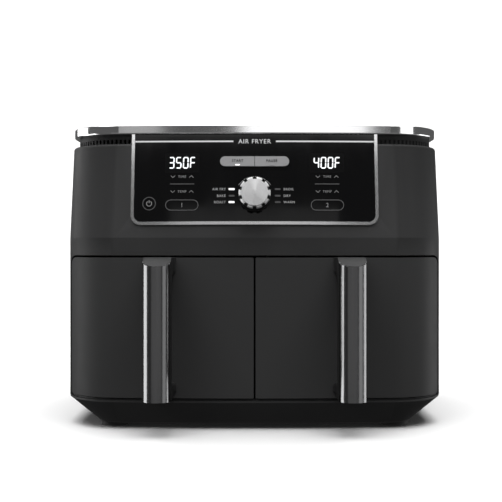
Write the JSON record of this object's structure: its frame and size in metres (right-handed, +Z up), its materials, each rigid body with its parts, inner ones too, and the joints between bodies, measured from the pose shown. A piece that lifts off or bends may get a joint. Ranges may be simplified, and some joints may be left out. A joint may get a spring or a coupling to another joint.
{
  "type": "air fryer",
  "caption": "Countertop air fryer with side-by-side pull-out drawers, lift-out crisper plates, a tilted glass control panel, a push-and-turn dial and press keys.",
  "frame": {"origin": "on the ground under the centre of the overall box", "axes": "+Z up, the front faces -Y, +X to the right seen from the front"},
  "size_m": [0.4134, 0.352, 0.325],
  "materials": {
    "body_paint": "satin charcoal paint, fine grain",
    "black_plastic": "fine matt grain",
    "chrome_trim": "polished",
    "dark_chrome": "polished, smoke tinted",
    "dial_silver": "brushed round its axis",
    "panel_black": "polished, opaque black",
    "key_silver": "satin silver",
    "lamp_white": "clear light guide",
    "display_dark": "smoke tinted",
    "circuit_board": "solder mask",
    "nonstick": "dark ceramic coating, satin",
    "silicone": "matt",
    "cavity_steel": "aluminised sheet",
    "heater_steel": "heat-tinted",
    "fan_steel": "pressed sheet",
    "motor_steel": "zinc plated",
    "screw_steel": "zinc plated"
  },
  "bodies": {
    "machine": {"outer_housing": "body_paint", "front_frame": "black_plastic", "base_pan": "black_plastic", "feet": "silicone", "rear_cover": "black_plastic", "top_cover": "black_plastic", "top_rim": "chrome_trim", "vent_ring": "black_plastic", "panel_trim": "chrome_trim", "panel_glass": "panel_black", "panel_carrier": "black_plastic", "control_board": "circuit_board", "indicator_lamps": "lamp_white", "dial_skirt": "black_plastic", "encoder_body": "motor_steel", "chassis_deck": "cavity_steel", "temperature_probes": "screw_steel", "thermal_cutouts": "black_plastic", "power_board": "circuit_board", "cord_gland": "silicone", "case_screws": "screw_steel", "drawer_switches": "black_plastic", "display_left": "display_dark", "liner_left": "cavity_steel", "heater_left": "heater_steel", "motor_left": "motor_steel", "fan_guard_left": "screw_steel", "display_right": "display_dark", "liner_right": "cavity_steel", "heater_right": "heater_steel", "motor_right": "motor_steel", "fan_guard_right": "screw_steel"},
    "drawer_left": {"drawer_front_left": "body_paint", "drawer_back_left": "black_plastic", "basket_left": "nonstick", "handle_core_left": "black_plastic", "handle_cover_left": "dark_chrome", "handle_screws_left": "screw_steel"},
    "crisper_left": {"crisper_plate_left": "nonstick", "crisper_bumpers_left": "silicone"},
    "fan_left": {"fan_shaft_left": "screw_steel", "hot_fan_left": "fan_steel", "cooling_fan_left": "black_plastic"},
    "key_left": {"key_left": "key_silver"},
    "drawer_right": {"drawer_front_right": "body_paint", "drawer_back_right": "black_plastic", "basket_right": "nonstick", "handle_core_right": "black_plastic", "handle_cover_right": "dark_chrome", "handle_screws_right": "screw_steel"},
    "crisper_right": {"crisper_plate_right": "nonstick", "crisper_bumpers_right": "silicone"},
    "fan_right": {"fan_shaft_right": "screw_steel", "hot_fan_right": "fan_steel", "cooling_fan_right": "black_plastic"},
    "key_right": {"key_right": "key_silver"},
    "dial_plunger": {"encoder_plunger": "motor_steel"},
    "dial": {"dial_shaft": "screw_steel", "dial_grip": "black_plastic", "dial_face": "dial_silver"}
  },
  "joints": [
    {"name": "drawer_left_slide", "type": "slide", "parent": "machine", "child": "drawer_left", "axis": [0, -1, 0], "range_m": [0, 0.24]},
    {"name": "crisper_left_lift", "type": "slide", "parent": "drawer_left", "child": "crisper_left", "axis": [0, 0, 1], "range_m": [0, 0.08]},
    {"name": "fan_left_spin", "type": "hinge", "parent": "machine", "child": "fan_left", "pos_m": [-0.1, 0.034, 0.25], "axis": [0, 0, 1], "continuous": true},
    {"name": "key_left_press", "type": "slide", "parent": "machine", "child": "key_left", "axis": [0, 0.9893, -0.1461], "range_m": [0, 0.0008], "stiffness_N_per_m": 2500},
    {"name": "drawer_right_slide", "type": "slide", "parent": "machine", "child": "drawer_right", "axis": [0, -1, 0], "range_m": [0, 0.24]},
    {"name": "crisper_right_lift", "type": "slide", "parent": "drawer_right", "child": "crisper_right", "axis": [0, 0, 1], "range_m": [0, 0.08]},
    {"name": "fan_right_spin", "type": "hinge", "parent": "machine", "child": "fan_right", "pos_m": [0.1, 0.034, 0.25], "axis": [0, 0, 1], "continuous": true},
    {"name": "key_right_press", "type": "slide", "parent": "machine", "child": "key_right", "axis": [0, 0.9893, -0.1461], "range_m": [0, 0.0008], "stiffness_N_per_m": 2500},
    {"name": "dial_press", "type": "slide", "parent": "machine", "child": "dial_plunger", "axis": [0, 0.9893, -0.1461], "range_m": [0, 0.001], "stiffness_N_per_m": 2500},
    {"name": "dial_turn", "type": "hinge", "parent": "dial_plunger", "child": "dial", "pos_m": [0, -0.11941, 0.2484], "axis": [0, -0.9893, 0.1461], "continuous": true}
  ]
}
